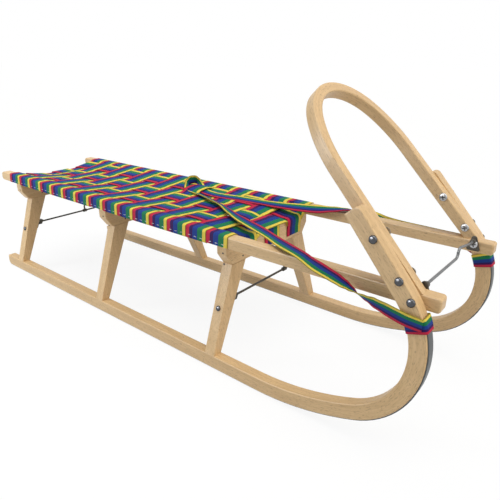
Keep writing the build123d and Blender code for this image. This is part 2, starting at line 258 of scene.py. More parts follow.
def joinAll(pieces, name):
    clearSelection()
    for piece in pieces:
        piece.select_set(True)
    bpy.context.view_layer.objects.active = pieces[0]
    if len(pieces) > 1:
        bpy.ops.object.join()
    whole = bpy.context.object
    whole.name = name
    whole.data.name = name
    return whole


# tow strap: one smooth line from the right runner over the seat to the left runner
tow = {
    "width": 0.025, "thick": 0.0016, "rows": 6,
    "gather": [(0.0, 0.76), (0.035, 0.88), (0.08, 1.0)],  # share of the width kept near the right loop
    "route": [  # x, y, z, and turn of the band in degrees: 0 is flat, 90 on edge
        (0.5935, -0.1653, 0.2298, 88), (0.5840, -0.1653, 0.2304, 88), (0.5690, -0.1652, 0.2314, 86),
        (0.5445, -0.1607, 0.2337, 79), (0.5215, -0.1560, 0.2360, 67), (0.5070, -0.1560, 0.2392, 47),
        (0.4932, -0.1570, 0.2427, 33), (0.4820, -0.1570, 0.2475, 16), (0.4700, -0.1570, 0.2520, 2),
        (0.4533, -0.1570, 0.2580, -6), (0.4280, -0.1565, 0.2645, -9), (0.3970, -0.1450, 0.2675, 2),
        (0.3820, -0.1380, 0.2685, 1), (0.3410, -0.1230, 0.2685, -1), (0.2930, -0.0965, 0.2655, 4),
        (0.2420, -0.0710, 0.2630, 0), (0.1900, -0.0495, 0.2610, 3), (0.1335, -0.0230, 0.2600, 17),
        (0.0885, 0.0035, 0.2600, 27), (0.0330, 0.0243, 0.2590, 24), (-0.0100, 0.0415, 0.2578, 22),
        (-0.0360, 0.0510, 0.2566, 10), (-0.0640, 0.0600, 0.2568, 4), (-0.0860, 0.0680, 0.2575, 10),
        (-0.0990, 0.0760, 0.2630, 62), (-0.1065, 0.0870, 0.2685, 92), (-0.1070, 0.0990, 0.2690, 96),
        (-0.1000, 0.1070, 0.2680, 92), (-0.0900, 0.1030, 0.2630, 62), (-0.0790, 0.0950, 0.2592, 10),
        (-0.0600, 0.0830, 0.2588, 4), (-0.0360, 0.0700, 0.2584, 4), (-0.0050, 0.0630, 0.2578, 6),
        (0.0240, 0.0640, 0.2580, 8), (0.0720, 0.0730, 0.2585, 8), (0.1340, 0.0780, 0.2590, 7),
        (0.1800, 0.0840, 0.2595, 13), (0.2260, 0.0910, 0.2615, 21), (0.2650, 0.0960, 0.2640, 23),
        (0.2970, 0.1110, 0.2665, 8), (0.3170, 0.1240, 0.2675, -6), (0.3340, 0.1370, 0.2655, -17),
        (0.3500, 0.1505, 0.2600, -10), (0.3660, 0.1545, 0.2530, 40), (0.3880, 0.1510, 0.2482, 74),
        (0.4250, 0.1470, 0.2468, 80), (0.4660, 0.1480, 0.2460, 82), (0.5150, 0.1545, 0.2430, 82),
        (0.5500, 0.1630, 0.2402, 83), (0.5700, 0.1655, 0.2290, 85), (0.5840, 0.1660, 0.2240, 86),
        (0.5960, 0.1660, 0.2230, 86),
    ],
}
towCurve = bpy.data.curves.new("towRoute", "CURVE")
towCurve.dimensions = "3D"
towSpline = towCurve.splines.new("NURBS")
towSpline.points.add(len(tow["route"]) - 1)
for point, (x, y, z, turn) in zip(towSpline.points, tow["route"]):
    point.co = (x, y, z, 1)
towSpline.order_u = 3
towSpline.use_endpoint_u = True
towSpline.resolution_u = 9
towGuide = bpy.data.objects.new("towRoute", towCurve)
scene.collection.objects.link(towGuide)
bpy.context.view_layer.update()
towLine = [vert.co.copy() for vert in bpy.data.meshes.new_from_object(towGuide).vertices]
bpy.data.objects.remove(towGuide)


def runAlong(spots):  # length reached at each spot
    run = [0.0]
    for before, after in zip(spots, spots[1:]):
        run.append(run[-1] + (after - before).length)
    return run


towRun = runAlong(towLine)
routeRun = runAlong([Vector(spot[:3]) for spot in tow["route"]])
towTurns = [(run / routeRun[-1], spot[3]) for run, spot in zip(routeRun, tow["route"])]


def towPlace(column, across):
    last = len(towLine) - 1
    ahead = (towLine[min(column + 1, last)] - towLine[max(column - 1, 0)]).normalized()
    level = Vector((-ahead.y, ahead.x, 0)).normalized()
    upward = ahead.cross(level)
    turn = radians(between(towTurns, towRun[column] / towRun[-1]))
    side = level * cos(turn) + upward * sin(turn)
    wide = tow["width"] * between(tow["gather"], towRun[column] / towRun[-1])
    return towLine[column] + side * (across - 0.5) * wide


towStrap = strapBlank("towStrap", len(towLine) - 1, tow["rows"])
layStrap(towStrap, len(towLine) - 1, tow["rows"], tow["width"], towPlace)
thicken(towStrap, tow["thick"], towWebbing)
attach(towStrap, "root")
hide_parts("tow_strap")
print("tow strap laid, %.3f m" % towRun[-1])


# seat: the hollow that the straps hang in
seat = {
    "frontX": 0.230, "pitch": 0.053, "width": 0.0522, "count": 15, "thick": 0.0015,
    "longY": (-0.071, 0.004, 0.079), "longWidth": 0.048, "longThick": 0.0013, "rows": 8, "longSteps": 190,
    "lift": 0.0012, "crossLead": 0.002, "crossFade": 0.010, "longFade": 0.0055, "layer": 0.0014,  # the weave
    "dip": [(-0.562, 0.0185), (-0.47, 0.0125), (-0.38, 0.0100), (-0.15, 0.0095), (0.10, 0.0095),
            (0.15, 0.0110), (0.18, 0.0140), (0.230, 0.0180)],
    "kneeShare": [(-0.562, 0.27), (0.10, 0.29), (0.20, 0.86)],
    "leaveY": 0.1170, "kneeY": 0.1050, "gap": 0.0010,
    "crossbars": (-0.526, -0.1535, 0.206), "crossbarHalf": 0.0125,
    "lapUnder": 0.0110, "lapDrop": 0.0022, "lapEdge": 0.0235, "lapFade": 0.005,  # first strap under the second
    "pullEdge": 0.024, "pullFade": 0.014, "pullRadius": 0.0058,  # first strap held down by the long ones
    "edgeHang": 0.0005, "railBend": 0.004, "railFlat": 0.0175, "underRun": 0.012, "hemRise": 0.0016,  # at the rails
    "foldLength": 0.036, "foldReach": 0.0022, "foldLead": 0.001,  # long straps round the last cross strap
    "tuckStrap": 5, "tuckY": 0.071, "tuckFlat": 0.008, "tuckWide": 0.026, "tuckRise": 0.0058,  # over the tow strap
    "easeX": 0.150, "bendX": 0.2140, "overTop": 0.2432, "underTop": 0.2408,  # long straps down the front crossbar
    "overFront": 0.2212, "underFront": 0.2196, "settleZ": 0.232, "settleFade": 0.012,
    "hemZ": (0.2240, 0.2050, 0.2050),
}
rearX = seat["frontX"] - seat["width"] - (seat["count"] - 1) * seat["pitch"]
lineZ = sled["railTop"] + seat["gap"]


def hollow(x, y):  # height of the seat between the rails
    y = abs(y)
    drop = between(seat["dip"], x)
    knee = between(seat["kneeShare"], x)
    if y >= seat["kneeY"]:
        return lineZ - drop * knee * smooth((seat["leaveY"] - y) / (seat["leaveY"] - seat["kneeY"]))
    return lineZ - drop * (knee + (1 - knee) * (1 - (y / seat["kneeY"]) ** 2))


def longOver(n, i):  # True where long strap n passes over cross strap i
    return (i + n) % 2 == 0


def crossWeave(i, y):
    lift = 0.0
    for n, middle in enumerate(seat["longY"]):
        away = abs(y - middle) - seat["longWidth"] / 2
        lift += (-1 if longOver(n, i) else 1) * (1 - smooth((away + seat["crossLead"]) / seat["crossFade"]))
    return seat["lift"] * lift


def longWeave(n, x):
    i = min(seat["count"] - 1, max(0, int((seat["frontX"] + 0.0015 - x) // seat["pitch"])))
    middle = seat["frontX"] - seat["width"] / 2 - i * seat["pitch"]
    away = seat["pitch"] / 2 - abs(x - middle)
    if x > seat["frontX"] or x < rearX:
        away = seat["pitch"] / 2
    return seat["lift"] * (1 if longOver(n, i) else -1) * smooth(away / seat["longFade"])


def longLevel(n, x, y):  # height of a long strap, eased down to the front crossbar
    z = hollow(x, y) + longWeave(n, x)
    last = seat["overTop"] if longOver(n, 0) else seat["underTop"]
    return z + (last - z) * smooth((x - seat["easeX"]) / (seat["bendX"] - seat["easeX"]))


def roundBar(past, top, radius):  # a strap's place, this far past the bend over the front crossbar
    turn = min(past / radius, pi / 2)
    down = max(0.0, past - radius * pi / 2)
    return seat["bendX"] + radius * sin(turn), top - radius + radius * cos(turn) - down


def pulledDown(x, y, z):  # first cross strap, held down on the crossbar by the outer long straps
    away, n = min((abs(y - seat["longY"][n]), n) for n in (0, 2))
    pull = 1 - smooth((away - seat["pullEdge"]) / seat["pullFade"])
    if x > seat["bendX"]:
        lowX, lowZ = roundBar(x - seat["bendX"], seat["overTop"] - seat["layer"], seat["pullRadius"])
    else:
        lowX, lowZ = x, longLevel(n, x, y) - seat["layer"]
    return x + (lowX - x) * pull, z + (lowZ - z) * pull


def wrapStations(under):  # outer part of a cross strap's path on one rail, from the hollow outwards
    top, low, gap, bend = sled["railTop"], sled["railBottom"], seat["gap"], seat["railBend"]
    stations = [(sideY(top, sled["railOut"]) - share * seat["railFlat"], top + gap) for share in (1.0, 0.66, 0.4)]
    outerTop = (sideY(top, sled["railOut"]) + gap - bend, top + gap - bend)
    for step in range(7):
        a = pi / 2 - step * (pi / 2 + sled["lean"]) / 6
        stations.append((outerTop[0] + bend * cos(a), outerTop[1] + bend * sin(a)))
    outerLow = (sideY(low, sled["railOut"]) + gap - bend, low - gap + bend)
    for share in (0.3, 0.6, 0.85):
        z = outerTop[1] + (outerLow[1] - outerTop[1]) * share
        stations.append((sideY(z, sled["railOut"]) + gap, z))
    if under:
        for step in range(6):
            a = radians(-step * 18)
            stations.append((outerLow[0] + bend * cos(a), outerLow[1] + bend * sin(a)))
        for share in (0.5, 1.0):
            stations.append((outerLow[0] - seat["underRun"] * share, low - gap))
    else:
        hem = low + seat["hemRise"]
        stations.append((sideY(hem, sled["railOut"]) + gap, hem))
    return stations


def crossStations(i):
    front = seat["frontX"] - i * seat["pitch"]
    clear = all(abs(front - seat["width"] / 2 - bar) > seat["width"] / 2 + seat["crossbarHalf"]
                for bar in seat["crossbars"])
    wrap = wrapStations(clear)
    inner = [seat["kneeY"] * k / 34 for k in range(-34, 35)]
    knee = [seat["kneeY"] + (seat["leaveY"] - seat["kneeY"]) * k / 6 for k in range(1, 7)]
    half = [("seat", y, 0) for y in knee] + [("rail", y, z) for y, z in wrap]
    other = [(kind, -y, z) for kind, y, z in reversed(half)]
    return other + [("seat", y, 0) for y in inner] + half


crossPieces = []
rows = seat["rows"]
for i in range(seat["count"]):
    stations = crossStations(i)
    back = seat["frontX"] - seat["width"] - i * seat["pitch"]

    def crossPlace(column, across):
        kind, y, z = stations[column]
        drift = 0.0006 * sin(37 * y + 2.3 * i) + 0.0004 * sin(90 * y + i)  # no strap runs quite straight
        x = back + seat["width"] * across + drift * (1 if kind == "seat" else 0.6)
        if kind == "seat":
            z = hollow(x, y) + crossWeave(i, y)
            if i == 0:
                beside = smooth((abs(y - seat["longY"][1]) - seat["lapEdge"]) / seat["lapFade"])
                lap = beside * (1 - smooth(across / 0.35))
                x, z = x - seat["lapUnder"] * lap, z - seat["lapDrop"] * lap
            if i == seat["tuckStrap"]:
                z += seat["tuckRise"] * (1 - smooth((abs(y - seat["tuckY"]) - seat["tuckFlat"]) / seat["tuckWide"]))
            z -= seat["edgeHang"] * (2 * across - 1) ** 2
            if i == 0:
                x, z = pulledDown(x, y, z)
        return Vector((x, y, z))

    strap = strapBlank("crossStrap", len(stations) - 1, rows)
    layStrap(strap, len(stations) - 1, rows, seat["width"], crossPlace)
    thicken(strap, seat["thick"], seatWebbing)
    crossPieces.append(strap)
seatAcross = joinAll(crossPieces, "seatStrapsAcross")
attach(seatAcross, "root")
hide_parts("seat_straps_across")
print("cross straps woven")

# long straps, folded round the last cross strap and brought down the front crossbar
longPieces = []
for n, middle in enumerate(seat["longY"]):
    over = longOver(n, 0)
    rearSide = 1 if longOver(n, seat["count"] - 1) else -1
    stations = []
    for share in (1.0, 0.75, 0.5, 0.25, 0.08):
        stations.append(("fold", rearX + seat["foldLength"] * share, -rearSide))
    for a in range(7):
        stations.append(("turn", radians(-90 + a * 30), rearSide))
    steps, lead = seat["longSteps"], seat["foldLead"]
    for k in range(steps + 1):
        stations.append(("seat", rearX + lead + (seat["bendX"] - rearX - lead) * k / steps, 0))
    top = seat["overTop"] if over else seat["underTop"]
    radius = (seat["overFront"] if over else seat["underFront"]) - seat["bendX"]
    reach = top - radius - seat["hemZ"][n] + radius * pi / 2
    for k in range(1, 21):
        x, z = roundBar(reach * k / 20, top, radius)
        settle = smooth((seat["settleZ"] - z) / seat["settleFade"])
        stations.append(("bar", x - seat["layer"] * over * settle, z))

    def longPlace(column, across):
        kind, a, b = stations[column]
        y = middle + seat["longWidth"] * (across - 0.5)
        if kind in ("fold", "turn"):
            level = hollow(rearX, y) + crossWeave(seat["count"] - 1, y)
            reach = seat["foldReach"]
            if kind == "fold":
                return Vector((a, y, level + b * reach))
            return Vector((rearX - reach * cos(a), y, level + b * reach * sin(a)))
        if kind == "seat":
            drift = 0.0007 * sin(19 * a + 1.7 * n)
            return Vector((a, y + drift, longLevel(n, a, y)))
        return Vector((a, y, b))

    strap = strapBlank("longStrap", len(stations) - 1, rows)
    layStrap(strap, len(stations) - 1, rows, seat["longWidth"], longPlace)
    thicken(strap, seat["longThick"], seatWebbing)
    longPieces.append(strap)
seatAlong = joinAll(longPieces, "seatStrapsAlong")
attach(seatAlong, "root")
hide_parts("seat_straps_along")
print("long straps woven")

# tow loops, the strap's ends taken round the runners
loop = {
    "angle": {"Right": radians(22), "Left": radians(20)}, "half": {"Right": radians(4.0), "Left": radians(5.3)},
    "gap": 0.0012, "bend": 0.0032, "thick": 0.0016, "rows": 6,
}


def loopPath():  # round the runner's section: depth from its outer curve, inset from its outer face
    gap, bend = loop["gap"], loop["bend"]
    depth, wide = sled["runnerTop"], sled["runnerWidth"]
    corners = ((-gap, -gap, 180), (depth + gap, -gap, 270), (depth + gap, wide + gap, 0), (-gap, wide + gap, 90))
    path = []
    for d, q, start in corners:
        cd = d + bend if d < 0 else d - bend
        cq = q + bend if q < 0 else q - bend
        for step in range(6):
            a = radians(start + step * 18)
            path.append((cd + bend * cos(a), cq + bend * sin(a)))
    return path + path[:1]


for side, sign in (("Right", -1), ("Left", 1)):
    path = loopPath()

    def loopPlace(column, across):
        depth, inset = path[column]
        a = loop["angle"][side] + (across - 0.5) * 2 * loop["half"][side]
        reach = sled["noseRadius"] - depth
        z = (sled["noseS"] + reach * sin(a)) * cos(sled["lean"])
        return Vector((sled["noseX"] + reach * cos(a), sign * sideY(z, inset), z))

    band = strapBlank("towLoop" + side, len(path) - 1, loop["rows"])
    layStrap(band, len(path) - 1, loop["rows"], tow["width"], loopPlace)
    thicken(band, loop["thick"], towWebbing)
    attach(band, "root")
    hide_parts("tow_loop_" + side.lower())
print("tow loops sewn")


# beech, grain run along each part, with the short dark flecks that beech has
beech = {
    "pale": (0.735, 0.500, 0.252), "warm": (0.60, 0.385, 0.178), "fleck": (0.33, 0.19, 0.090),
    "pink": (0.665, 0.437, 0.222),
}


def beechCoat(tree, shader, along, across, through):
    # along, across and through are metres on the part, along following the grain
    joined = addNode(tree, "ShaderNodeCombineXYZ")
    for socket, value in zip(joined.inputs, (calc(tree, "MULTIPLY", along, 0.05), across, through)):
        put(tree, value, socket)
    broad = noiseAt(tree, joined.outputs[0], 60, 4.0)
    lines = noiseAt(tree, joined.outputs[0], 420, 3.0, 0.6)
    short = addNode(tree, "ShaderNodeCombineXYZ")
    for socket, value in zip(short.inputs, (calc(tree, "MULTIPLY", along, 0.16), across, through)):
        put(tree, value, socket)
    flecks = noiseAt(tree, short.outputs[0], 900, 1.0, 0.5)
    colour = rampOf(tree, broad, ((0.30, beech["warm"]), (0.52, beech["pale"]), (0.72, beech["pink"])))
    colour = mixColour(tree, rampOf(tree, lines, ((0.38, (0.62, 0.62, 0.62)), (0.60, (0.0, 0.0, 0.0)))),
                       colour, beech["warm"])
    colour = mixColour(tree, rampOf(tree, flecks, ((0.59, (0.0, 0.0, 0.0)), (0.72, (0.62, 0.62, 0.62)))),
                       colour, beech["fleck"])
    tree.links.new(colour, shader.inputs["Base Color"])
    rough = calc(tree, "MULTIPLY_ADD", lines, 0.18, 0.36)
    tree.links.new(rough, shader.inputs["Roughness"])
    tree.links.new(bumpOf(tree, lines, 0.18, 0.0004), shader.inputs["Normal"])
    shader.inputs["Coat Weight"].default_value = 0.12
    shader.inputs["Coat Roughness"].default_value = 0.35


def splitPlace(tree):
    place = addNode(tree, "ShaderNodeTexCoord").outputs["Object"]
    parts = addNode(tree, "ShaderNodeSeparateXYZ")
    tree.links.new(place, parts.inputs[0])
    return parts.outputs[0], parts.outputs[1], parts.outputs[2]


def makeStraightBeech(name, direction):
    material, tree, shader = newMaterial(name)
    x, y, z = splitPlace(tree)
    order = {"X": (x, y, z), "Y": (y, x, z), "Z": (z, x, y)}[direction]
    beechCoat(tree, shader, *order)
    return material


def makeRunnerBeech(name):  # grain follows the flat, the rise, the nose and the horn
    material, tree, shader = newMaterial(name)
    x, y, z = splitPlace(tree)
    rx, rr = sled["riseX"], sled["riseRadius"]
    nx, nz, nr = sled["noseX"], sled["noseS"], sled["noseRadius"]
    fromRise = calc(tree, "SUBTRACT", x, rx)
    underRise = calc(tree, "SUBTRACT", rr, z)
    riseTurn = calc(tree, "ARCTAN2", fromRise, underRise)
    riseDepth = calc(tree, "SUBTRACT", rr, calc(tree, "SQRT", calc(
        tree, "ADD", calc(tree, "MULTIPLY", fromRise, fromRise), calc(tree, "MULTIPLY", underRise, underRise))))
    riseAlong = calc(tree, "MULTIPLY_ADD", riseTurn, rr, rx)
    fromNose = calc(tree, "SUBTRACT", x, nx)
    underNose = calc(tree, "SUBTRACT", nz, z)
    noseTurn = calc(tree, "ARCTAN2", fromNose, underNose)
    noseDepth = calc(tree, "SUBTRACT", nr, calc(tree, "SQRT", calc(
        tree, "ADD", calc(tree, "MULTIPLY", fromNose, fromNose), calc(tree, "MULTIPLY", underNose, underNose))))
    riseEnd = rx + rr * sled["riseAngle"]
    noseAlong = calc(tree, "MULTIPLY_ADD", noseTurn, nr, riseEnd - nr * sled["riseAngle"])
    hornTurn = sled["riseAngle"] + sled["noseAngle"]
    hornDepth = calc(tree, "SUBTRACT", nr, calc(tree, "ADD", calc(tree, "MULTIPLY", fromNose, sin(hornTurn)),
                                                 calc(tree, "MULTIPLY", underNose, cos(hornTurn))))
    hornAlong = calc(tree, "ADD", riseEnd + nr * sled["noseAngle"],
                     calc(tree, "ADD", calc(tree, "MULTIPLY", fromNose, cos(hornTurn)),
                          calc(tree, "MULTIPLY", underNose, -sin(hornTurn))))
    inRise = calc(tree, "GREATER_THAN", x, rx)
    inNose = calc(tree, "MULTIPLY", inRise, calc(tree, "GREATER_THAN", noseTurn, sled["riseAngle"]))
    inHorn = calc(tree, "MULTIPLY", inRise, calc(tree, "GREATER_THAN", noseTurn, hornTurn))
    along = choose(tree, inHorn, choose(tree, inNose, choose(tree, inRise, x, riseAlong), noseAlong), hornAlong)
    depth = choose(tree, inHorn, choose(tree, inNose, choose(tree, inRise, z, riseDepth), noseDepth), hornDepth)
    beechCoat(tree, shader, along, y, depth)
    return material


bowGrain = {"leanBack": radians(43.4), "footX": 0.585, "footZ": 0.256, "legLength": 0.206, "crownRadius": 0.13}


def makeBowBeech(name):  # grain goes up one leg, round the crown and down the other
    material, tree, shader = newMaterial(name)
    x, y, z = splitPlace(tree)
    leanBack, legLength, radius = bowGrain["leanBack"], bowGrain["legLength"], bowGrain["crownRadius"]
    up = calc(tree, "ADD", calc(tree, "MULTIPLY", calc(tree, "SUBTRACT", x, bowGrain["footX"]), -sin(leanBack)),
              calc(tree, "MULTIPLY", calc(tree, "SUBTRACT", z, bowGrain["footZ"]), cos(leanBack)))
    through = calc(tree, "ADD", calc(tree, "MULTIPLY", x, cos(leanBack)), calc(tree, "MULTIPLY", z, sin(leanBack)))
    over = calc(tree, "MULTIPLY", calc(tree, "SUBTRACT", up, legLength), 0.85)
    legDepth = calc(tree, "ABSOLUTE", y)
    crownDepth = calc(tree, "SQRT", calc(
        tree, "ADD", calc(tree, "MULTIPLY", y, y), calc(tree, "MULTIPLY", over, over)))
    crownAlong = calc(tree, "MULTIPLY", calc(tree, "ARCTAN2", y, over), radius)
    legAlong = calc(tree, "MULTIPLY", calc(tree, "SIGN", y),
                    calc(tree, "SUBTRACT", radius * pi / 2 + legLength, up))
    inCrown = calc(tree, "GREATER_THAN", over, 0.0)
    along = choose(tree, inCrown, legAlong, crownAlong)
    depth = choose(tree, inCrown, legDepth, crownDepth)
    beechCoat(tree, shader, along, depth, through)
    return material


def makeSteel(name, colour, metal, rough, streak):
    material, tree, shader = newMaterial(name)
    x, y, z = splitPlace(tree)
    drawn = addNode(tree, "ShaderNodeCombineXYZ")
    for socket, value in zip(drawn.inputs, (calc(tree, "MULTIPLY", x, streak), y, z)):
        put(tree, value, socket)
    fine = noiseAt(tree, drawn.outputs[0], 700, 3.0)
    broad = noiseAt(tree, drawn.outputs[0], 45, 4.0)
    dark = tuple(c * 0.62 for c in colour)
    tone = mixColour(tree, rampOf(tree, broad, ((0.35, (0.0, 0.0, 0.0)), (0.7, (0.8, 0.8, 0.8)))), colour, dark)
    tree.links.new(tone, shader.inputs["Base Color"])
    shader.inputs["Metallic"].default_value = metal
    tree.links.new(calc(tree, "MULTIPLY_ADD", fine, 0.25, rough - 0.12), shader.inputs["Roughness"])
    tree.links.new(bumpOf(tree, fine, 0.12, 0.0003), shader.inputs["Normal"])
    return material


def dress(node, material):
    slots = nodes[node].material_slots
    if slots:
        for place in slots:
            place.material = material
    else:
        nodes[node].data.materials.append(material)


railBeech = makeStraightBeech("beechAlong", "X")
barBeech = makeStraightBeech("beechAcross", "Y")
legBeech = makeStraightBeech("beechUpright", "Z")
runnerBeech = makeRunnerBeech("beechBentRunner")
bowBeech = makeBowBeech("beechBentBow")
soleSteel = makeSteel("stripSteel", (0.115, 0.122, 0.125), 0.85, 0.42, 0.05)
wireSteel = makeSteel("galvanisedWire", (0.22, 0.225, 0.23), 0.85, 0.40, 1.0)
bracketSteel = makeSteel("darkCoatedSteel", (0.085, 0.075, 0.06), 0.7, 0.48, 1.0)
for side in ("right", "left"):
    dress("runner_" + side, runnerBeech)
    dress("seat_rail_" + side, railBeech)
    dress("sole_" + side, soleSteel)
    for place in ("rear", "middle", "front"):
        dress("leg_%s_%s" % (place, side), legBeech)
    for place in ("rear", "front", "nose"):
        dress("brace_bracket_%s_%s" % (place, side), bracketSteel)
    for place in ("rear", "front"):
        dress("brace_wire_%s_%s" % (place, side), bracketSteel)
dress("brace_wire_nose", wireSteel)
dress("front_bow", bowBeech)
for place in ("rear", "middle", "front"):
    dress("crossbar_" + place, barBeech)
print("wood and steel dressed")


# hardware: domed bolt heads outside, slotted nuts inside, nails at the crossbars
hardware = {
    "noseBolts": ((0.5094, 0.3286), (0.5530, 0.2804), (0.5730, 0.2559)),  # x and height up the side plane
    "nutInset": (0.0390, 0.0390, 0.0455),
    "noseHead": (0.0062, 0.0045), "noseNut": (0.0072, 0.0030),  # radius and height
    "legHead": (0.0052, 0.0036), "legNut": (0.0052, 0.0040), "nail": (0.0017, 0.0010),
    "legBoltZ": 0.115, "legOuter": 0.1444, "legInner": 0.1140,
    "legOuterTilt": radians(18.8), "legInnerTilt": radians(-24.3), "barEnds": (0.139, 0.136, 0.130),
    "legNail": (-0.007, 0.195), "endNail": (0.003, 0.2235), "faceNail": (0.0855, 0.2074),
}
chrome = makeSteel("chromedSteel", (0.10, 0.103, 0.112), 1.0, 0.24, 1.0)
nutSteel = makeSteel("zincedNut", (0.46, 0.465, 0.475), 1.0, 0.26, 1.0)
slotDark = makeSteel("slotShadow", (0.05, 0.05, 0.05), 0.4, 0.5, 1.0)
stapleSteel = makeSteel("stapleWire", (0.50, 0.50, 0.52), 0.6, 0.35, 1.0)


def placeCopy(master, spot, turn):  # a copy with its own mesh, turned and set in place
    clearSelection()
    master.select_set(True)
    bpy.context.view_layer.objects.active = master
    bpy.ops.object.duplicate()
    piece = bpy.context.object
    piece.rotation_euler = turn
    piece.location = spot
    bpy.ops.object.transform_apply(location=True, rotation=True, scale=True)
    return piece


def standOn(master, facing, spot):  # a copy stood on a face
    return placeCopy(master, spot, Vector(facing).to_track_quat("Z", "Y").to_euler())


def domedHead(radius, height, finish):  # a short cylinder with its top drawn up in rings to a dome
    clearSelection()
    bpy.ops.mesh.primitive_cylinder_add(vertices=24, radius=radius, depth=height * 0.3,
                                        location=(0, 0, height * 0.15))
    head = bpy.context.object
    bpy.ops.object.transform_apply(location=True)
    bpy.ops.object.mode_set(mode="EDIT")
    bpy.ops.mesh.select_mode(type="FACE")
    bpy.ops.mesh.select_all(action="DESELECT")
    bpy.ops.object.mode_set(mode="OBJECT")
    for face in head.data.polygons:
        face.select = face.normal.z > 0.9
    bpy.ops.object.mode_set(mode="EDIT")
    wide, level = 1.0, 0.0
    for a in (radians(25), radians(46), radians(65), radians(80)):
        bpy.ops.mesh.extrude_region_move(TRANSFORM_OT_translate={"value": (0, 0, height * 0.7 * (sin(a) - level))})
        bpy.ops.transform.resize(value=(cos(a) / wide, cos(a) / wide, 1))
        wide, level = cos(a), sin(a)
    bpy.ops.object.mode_set(mode="OBJECT")
    bpy.ops.object.shade_smooth_by_angle(angle=radians(50))
    head.data.materials.append(finish)
    return head


def slottedNut(radius, height):  # a low dome with a cross slot
    nut = domedHead(radius, height, nutSteel)
    bars = []
    # painted shade: the cross slot is two dark bars set into the dome top, standing in for the shade inside a cut
    # slot
    for turn in (0.3, 0.3 + pi / 2):
        clearSelection()
        bpy.ops.mesh.primitive_cube_add(size=1, location=(0, 0, height * 0.93), rotation=(0, 0, turn))
        bar = bpy.context.object
        bar.scale = (radius * 1.25, radius * 0.26, height * 0.22)
        bpy.ops.object.transform_apply(location=True, rotation=True, scale=True)
        bar.data.materials.append(slotDark)
        bars.append(bar)
    return joinAll([nut] + bars, "slottedNut")


noseHead = domedHead(*hardware["noseHead"], chrome)
noseNut = slottedNut(*hardware["noseNut"])
legHead = domedHead(*hardware["legHead"], chrome)
legNut = slottedNut(*hardware["legNut"])
nail = domedHead(*hardware["nail"], slotDark)
boltPieces, nutPieces, nailPieces = [], [], []
outerTilt, innerTilt = hardware["legOuterTilt"], hardware["legInnerTilt"]
for sign in (-1, 1):
    outward = Vector((0, sign * cos(sled["lean"]), sin(sled["lean"])))
    for (x, s), inset in zip(hardware["noseBolts"], hardware["nutInset"]):
        z = s * cos(sled["lean"])
        boltPieces.append(standOn(noseHead, outward, (x, sign * sideY(z, 0), z)))
        nutPieces.append(standOn(noseNut, -outward, (x, sign * sideY(z, inset), z)))
    legOut = (0, sign * cos(outerTilt), sin(outerTilt))
    legIn = (0, -sign * cos(innerTilt), sin(innerTilt))
    for x in (seat["crossbars"][0], seat["crossbars"][2]):
        boltPieces.append(standOn(legHead, legOut, (x, sign * hardware["legOuter"], hardware["legBoltZ"])))
        nutPieces.append(standOn(legNut, legIn, (x, sign * hardware["legInner"], hardware["legBoltZ"])))
    # nails: one in each leg, one in the crossbar's end and one in its front face
    (legX, legZ), (endX, endZ), (faceY, faceZ) = hardware["legNail"], hardware["endNail"], hardware["faceNail"]
    legY = hardware["legOuter"] - (legZ - hardware["legBoltZ"]) * tan(outerTilt)
    for x, barEnd in zip(seat["crossbars"], hardware["barEnds"]):
        nailPieces.append(standOn(nail, legOut, (x + legX, sign * legY, legZ)))
        nailPieces.append(standOn(nail, (0, sign, 0), (x + endX, sign * barEnd, endZ)))
        nailPieces.append(standOn(nail, (1, 0, 0), (x + seat["crossbarHalf"], sign * faceY, faceZ)))
for master in (noseHead, noseNut, legHead, legNut, nail):
    bpy.data.objects.remove(master)
for pieces, name in ((boltPieces, "boltHeads"), (nutPieces, "boltNuts"), (nailPieces, "nailHeads")):
    whole = joinAll(pieces, name)
    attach(whole, "root")

